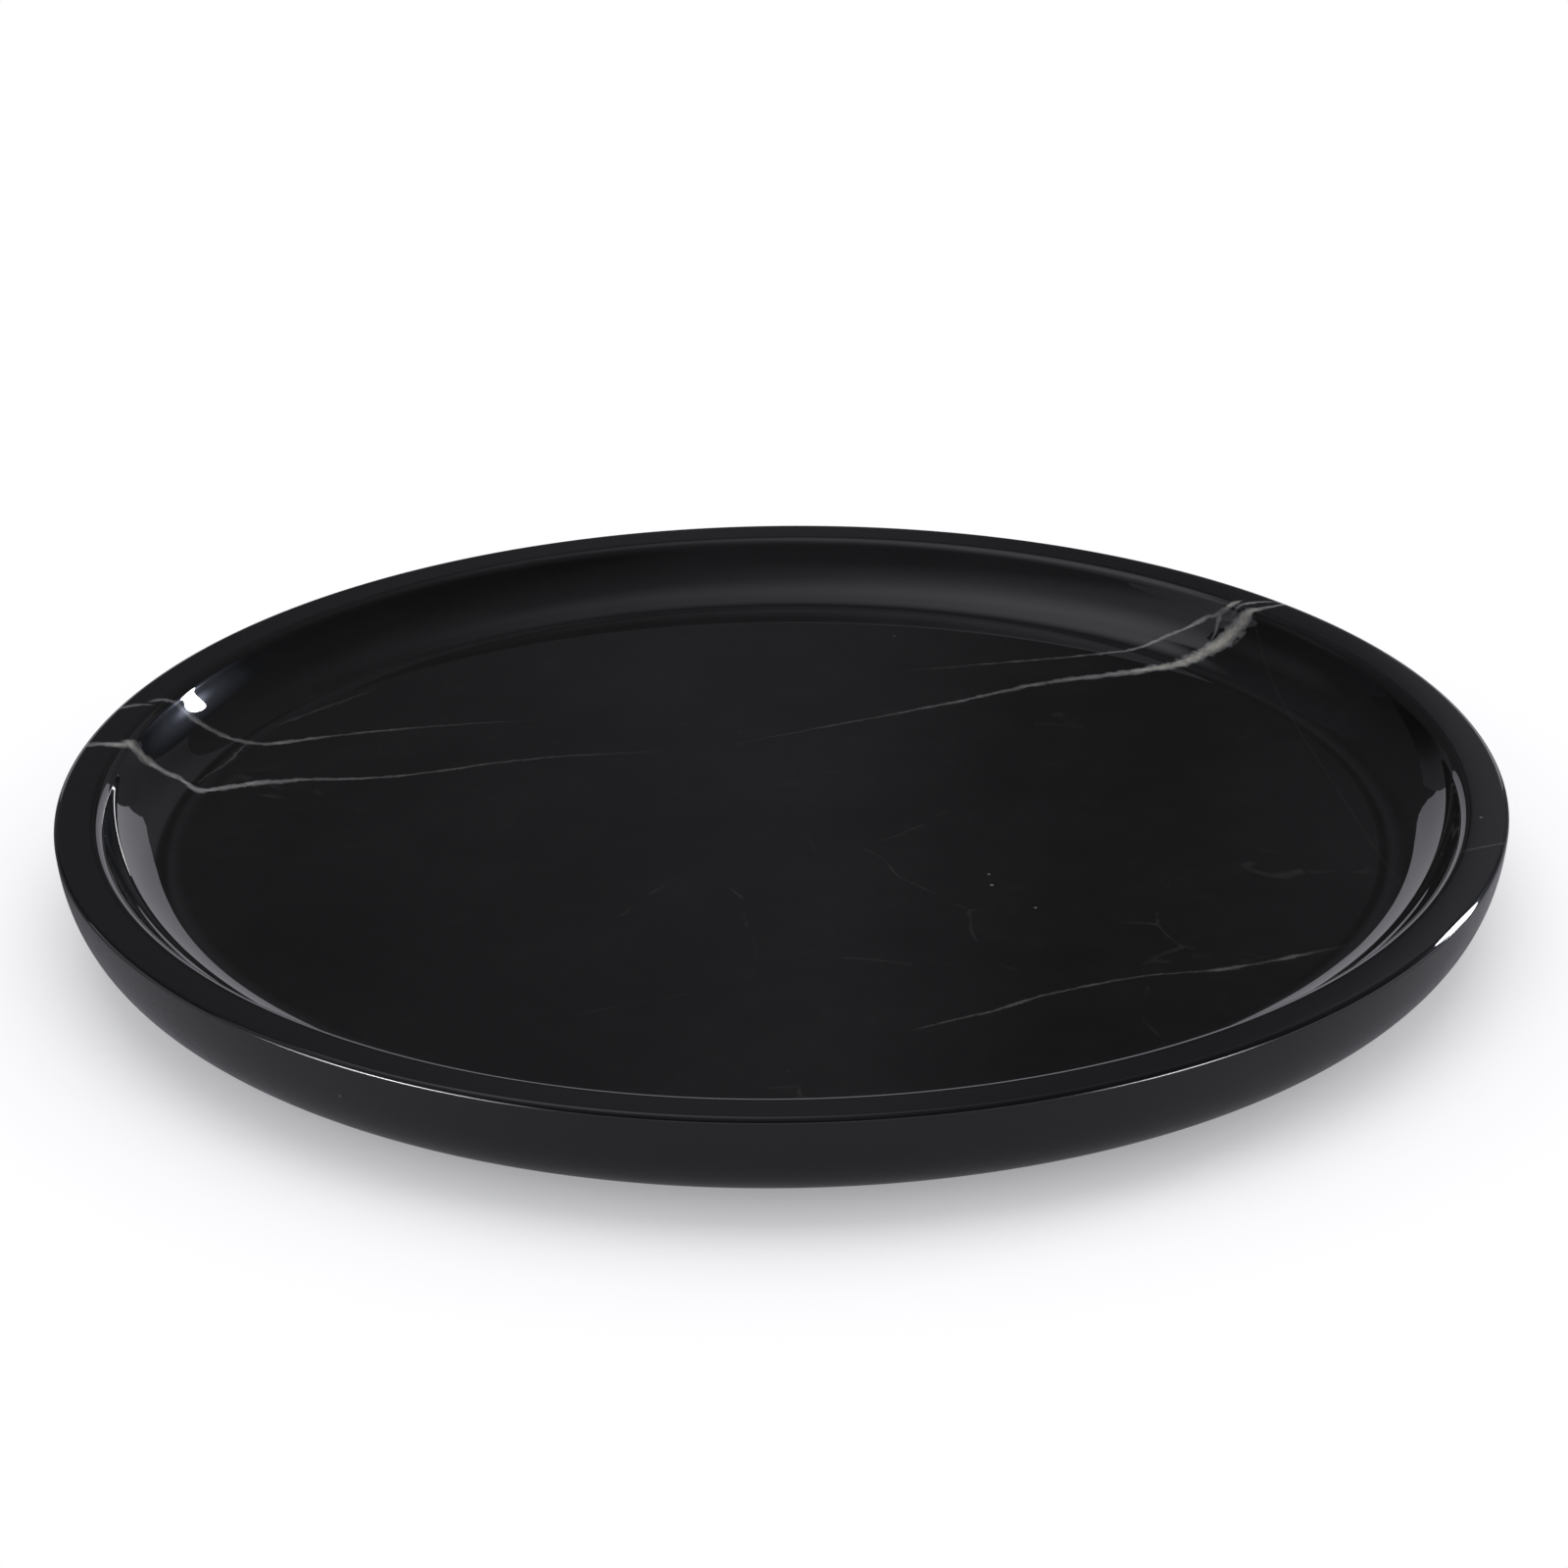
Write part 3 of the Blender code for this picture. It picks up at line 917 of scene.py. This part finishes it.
# Painted shadow of the tray, seen only in the stone's mirror: dark near the axis and dimmed behind the tray
def floor_mirrored_painted_shade(paper, place):
    away = paper.length(place)
    strength = paper.total(paper.step(away, *MIRRORED_SHADE_NEAR), paper.step(away, *MIRRORED_SHADE_FAR))
    behind = paper.step(paper.along(place, MIRRORED_SHADE_BEHIND_WAY), *MIRRORED_SHADE_BEHIND)
    return paper.math("MULTIPLY", strength, behind)


def even(strength):
    """The formula of a strength that is the same everywhere."""
    return lambda recipe, place: strength


def drawn_along(way, points):
    """The formula of a strength that is drawn along a way by (distance, strength)."""
    return lambda recipe, place: recipe.drawn(recipe.along(place, way), points)


def add_stage(name, corners, faces, material):
    mesh = bpy.data.meshes.new(name)
    mesh.from_pydata(corners, [], faces)
    mesh.materials.append(material)
    piece = bpy.data.objects.new(name, mesh)
    bpy.context.scene.collection.objects.link(piece)
    return piece


def add_room():
    """A round white floor, a low white rim far around it and a taller white screen behind the tray."""
    sides = FLOOR_SIDES
    turns = even_turns(sides)
    ground = [(FLOOR_RADIUS * math.cos(turn), FLOOR_RADIUS * math.sin(turn), 0.0) for turn in turns]
    paper = stage_white("floor_paper", floor_seen, floor_mirrored_painted_shade, FLOOR_WINDOW)
    add_stage("floor", ground, [tuple(range(sides))], paper)
    height = FLOOR_RADIUS * math.tan(RING_ELEVATION)
    upper = [(x, y, height) for x, y, z in ground]
    walls = [(k, (k + 1) % sides, sides + (k + 1) % sides, sides + k) for k in range(sides)]
    fully_seen = even(1.0)
    low_white = stage_white("ring_paper", fully_seen, even(RING_GLOW))
    add_stage("backdrop_ring", ground + upper, walls, low_white)
    screen = [(x, SCREEN_DISTANCE, z) for x, z in SCREEN_OUTLINE]
    white = stage_white("screen_paper", fully_seen, drawn_along(TO_RIGHT, SCREEN_GLOW))
    add_stage("backdrop_screen", screen, [tuple(range(len(screen)))], white)


def add_mirror_card(name, corners, material):
    """A flat card that only the stone's mirror shows: the camera and the light pass through it."""
    card = add_stage(name, corners, [tuple(range(len(corners)))], material)
    card.visible_camera = False
    card.visible_shadow = False
    card.visible_diffuse = False
    return card


def glowing_cloth(name, tint, formula):
    """Cloth that glows at the strength that the formula finds from the recipe and the place."""
    cloth = Recipe(name)
    cloth.material.cycles.emission_sampling = "NONE"
    place = cloth.node("ShaderNodeTexCoord").outputs["Object"]
    glow = cloth.node("ShaderNodeEmission")
    glow.inputs["Color"].default_value = tint
    cloth.feed(glow.inputs["Strength"], formula(cloth, place))
    cloth.feed(cloth.output.inputs["Surface"], glow.outputs[0])
    return cloth.material


def upright(left, right, distance, top):
    """The corners of an upright card that faces the front and stands on the floor."""
    return [(left, distance, 0.0), (right, distance, 0.0), (right, distance, top), (left, distance, top)]


def add_rear():
    """Dark flags on both sides of the screen, which stop the white backdrop sharply in the cove, and the
    dark cloth that shows above them."""
    flags = glowing_cloth("flag_cloth", MIRRORED_WHITE, drawn_along(TO_RIGHT, FLAG_GLOW))
    add_mirror_card("flag_left", upright(-FLAG_END, -SCREEN_END, SCREEN_DISTANCE, FLAG_TOP), flags)
    add_mirror_card("flag_right", upright(SCREEN_END, FLAG_END, SCREEN_DISTANCE, FLAG_TOP), flags)
    rear = glowing_cloth("rear_cloth", MIRRORED_WHITE, drawn_along(TO_RIGHT, REAR_GLOW))
    add_mirror_card("rear_cloth", upright(-FLAG_END, FLAG_END, REAR_DISTANCE, REAR_TOP), rear)


def add_side_cloth():
    """The dim cloth on the left, which ends sharply at the rear."""
    rear, front = SIDE_CLOTH_ENDS
    low, high = SIDE_CLOTH_HEIGHTS
    outline = [(rear, low), (front, low), (front, high), (rear, high)]
    corners = [(SIDE_CLOTH_PLACE, y, z) for y, z in outline]
    cloth = glowing_cloth("side_cloth", MIRRORED_WHITE, drawn_along(TO_REAR, SIDE_CLOTH_GLOW))
    add_mirror_card("side_cloth", corners, cloth)


def soft_patch(cloth, place, middle, reach, strength):
    """A glow that fades evenly from its middle to its reach."""
    away = cloth.length(cloth.moved(place, [-value for value in middle]))
    return cloth.step(away, reach, 0.0, 0.0, strength)


def ceiling_glow(cloth, place):
    """Bright place, tongue, band and base, which fade to the world's glow at the ceiling's soft edge."""
    bright = soft_patch(cloth, place, CEILING_BRIGHT_PLACE, CEILING_BRIGHT_REACH, CEILING_BRIGHT)
    tongue = soft_patch(cloth, place, CEILING_TONGUE_PLACE, CEILING_TONGUE_REACH, CEILING_TONGUE)
    x = cloth.along(place, TO_RIGHT)
    y = cloth.along(place, TO_REAR)
    off_band = cloth.math("ABSOLUTE", cloth.math("SUBTRACT", y, CEILING_BAND_MIDDLE))
    across = cloth.step(off_band, *reversed(CEILING_BAND_REACH))
    band = cloth.math("MULTIPLY", across, cloth.step(x, *CEILING_BAND_ENDS, 0.0, CEILING_BAND))
    kept_right = cloth.step(x, *CEILING_FADE_RIGHT, 1.0, 0.0)
    kept_rear = cloth.step(y, *CEILING_FADE_REAR, 1.0, 0.0)
    base = cloth.math("MULTIPLY", cloth.math("MULTIPLY", kept_right, kept_rear), CEILING_BASE)
    lit = cloth.total(bright, tongue, band, base)
    inward = cloth.step(cloth.along(place, CEILING_SOFT_WAY), *CEILING_SOFT_EDGE)
    kept = cloth.math("MAXIMUM", inward, cloth.step(y, *CEILING_SOFT_REAR, 1.0, 0.0))
    return cloth.math("MULTIPLY_ADD", lit, kept, WORLD_STRENGTH)


def add_ceiling():
    """The lit cloth over the tray."""
    cloth = glowing_cloth("ceiling_cloth", MIRRORED_WHITE, ceiling_glow)
    card = add_mirror_card("ceiling_cloth", [(x, y, 0.0) for x, y in CEILING_CORNERS], cloth)
    card.location = (0.0, 0.0, CEILING_HEIGHT)


def add_lamp(name, place, size, radiance, mirrored):
    """A flat lamp that faces the tray, of a radiance where white is 1. The stone may mirror it or not."""
    lamp = bpy.data.lights.new(name, "AREA")
    lamp.shape = "RECTANGLE"
    lamp.size, lamp.size_y = size
    lamp.energy = radiance * math.pi * size[0] * size[1]
    holder = bpy.data.objects.new(name, lamp)
    holder.location = place
    holder.rotation_euler = (-Vector(place)).to_track_quat("-Z", "Y").to_euler()
    holder.visible_glossy = mirrored
    holder.visible_camera = False
    bpy.context.scene.collection.objects.link(holder)


def direction(azimuth, elevation):
    """The unit vector at an azimuth, clockwise from +Y, and an elevation, both in degrees."""
    turn, rise = math.radians(azimuth), math.radians(elevation)
    return Vector((math.sin(turn) * math.cos(rise), math.cos(turn) * math.cos(rise), math.sin(rise)))


def add_strip_lamp():
    """The small bright lamp behind the tray's right side, which the cove mirrors as one round spot."""
    low, high = direction(*STRIP_LOW), direction(*STRIP_HIGH)
    middle = (low + high).normalized()
    lamp = bpy.data.lights.new("strip_lamp", "AREA")
    lamp.shape = "ELLIPSE"
    lamp.size = STRIP_WIDTH
    lamp.size_y = STRIP_DISTANCE * (high - low).length
    lamp.energy = STRIP_RADIANCE * math.pi * math.pi / 4 * lamp.size * lamp.size_y
    holder = bpy.data.objects.new("strip_lamp", lamp)
    along = (high - low).normalized()
    across = along.cross(middle).normalized()
    axes = Matrix((across, along, across.cross(along))).transposed()
    holder.matrix_world = Matrix.Translation(STRIP_DISTANCE * middle) @ axes.to_4x4()
    holder.visible_camera = False
    bpy.context.scene.collection.objects.link(holder)


def round_glow(glow):
    """The formula of a glow that fades from the middle of a card to a circle of radius 1."""
    def formula(cloth, place):
        fading = cloth.math("MULTIPLY", cloth.drawn(cloth.length(place), glow.fade), glow.radiance)
        return cloth.math("MAXIMUM", fading, WORLD_STRENGTH)
    return formula


def add_glow(name, glow):
    """A round card, stretched to the glow's reach, that faces the tray."""
    corners = [(math.cos(turn), math.sin(turn), 0.0) for turn in even_turns(CARD_SIDES)]
    card = add_mirror_card(name, corners, glowing_cloth(name, glow.tint, round_glow(glow)))
    away = direction(glow.azimuth, glow.elevation)
    card.location = glow.distance * away
    card.rotation_euler = away.to_track_quat("Z", "Y").to_euler()
    card.scale = (*glow.reach, 1.0)


def add_lamps():
    add_lamp("overhead_fill", FILL_PLACE, FILL_SIZE, FILL_RADIANCE, mirrored=False)
    add_lamp("underside_fill", UNDER_PLACE, UNDER_SIZE, UNDER_RADIANCE, mirrored=True)
    add_strip_lamp()
    for name, glow in GLOWS.items():
        add_glow(name, glow)


def set_world():
    """A dark studio. A camera that looks past the paper, as from under the floor, sees it as white."""
    world = bpy.data.worlds.new("dark_studio")
    world.use_nodes = True
    tree = world.node_tree
    dark = tree.nodes["Background"]
    dark.inputs["Color"].default_value = WORLD_COLOUR
    dark.inputs["Strength"].default_value = WORLD_STRENGTH
    white = tree.nodes.new("ShaderNodeBackground")
    white.inputs["Color"].default_value = SEEN_WHITE
    mix = tree.nodes.new("ShaderNodeMixShader")
    tree.links.new(tree.nodes.new("ShaderNodeLightPath").outputs["Is Camera Ray"], mix.inputs[0])
    tree.links.new(dark.outputs[0], mix.inputs[1])
    tree.links.new(white.outputs[0], mix.inputs[2])
    tree.links.new(mix.outputs[0], tree.nodes["World Output"].inputs["Surface"])
    bpy.context.scene.world = world


def add_camera():
    """The camera of the photograph, fitted to the rim."""
    camera = bpy.data.cameras.new("photo_camera")
    camera.sensor_width = SENSOR_MM
    camera.lens = FOCAL_PIXELS / IMAGE_SIDE_PIXELS * SENSOR_MM
    right, down = [place / IMAGE_SIDE_PIXELS - 0.5 for place in RIM_CENTRE_PIXELS]
    camera.shift_x, camera.shift_y = -right, down
    camera.clip_end = 3 * FLOOR_RADIUS
    forward = Vector((0.0, math.cos(CAMERA_ELEVATION), -math.sin(CAMERA_ELEVATION)))
    eye = Vector((0.0, 0.0, BODY_TOP)) - CAMERA_DISTANCE * forward
    holder = bpy.data.objects.new("photo_camera", camera)
    turn = forward.to_track_quat("-Z", "Y").to_matrix().to_4x4()
    holder.matrix_world = Matrix.Translation(eye) @ turn @ Matrix.Rotation(CAMERA_ROLL, 4, "Z")
    bpy.context.scene.collection.objects.link(holder)
    bpy.context.scene.camera = holder


def main():
    bpy.context.scene.view_settings.view_transform = "Standard"
    add_body()
    add_feet()
    add_room()
    add_rear()
    add_side_cloth()
    add_ceiling()
    add_lamps()
    set_world()
    add_camera()


main()
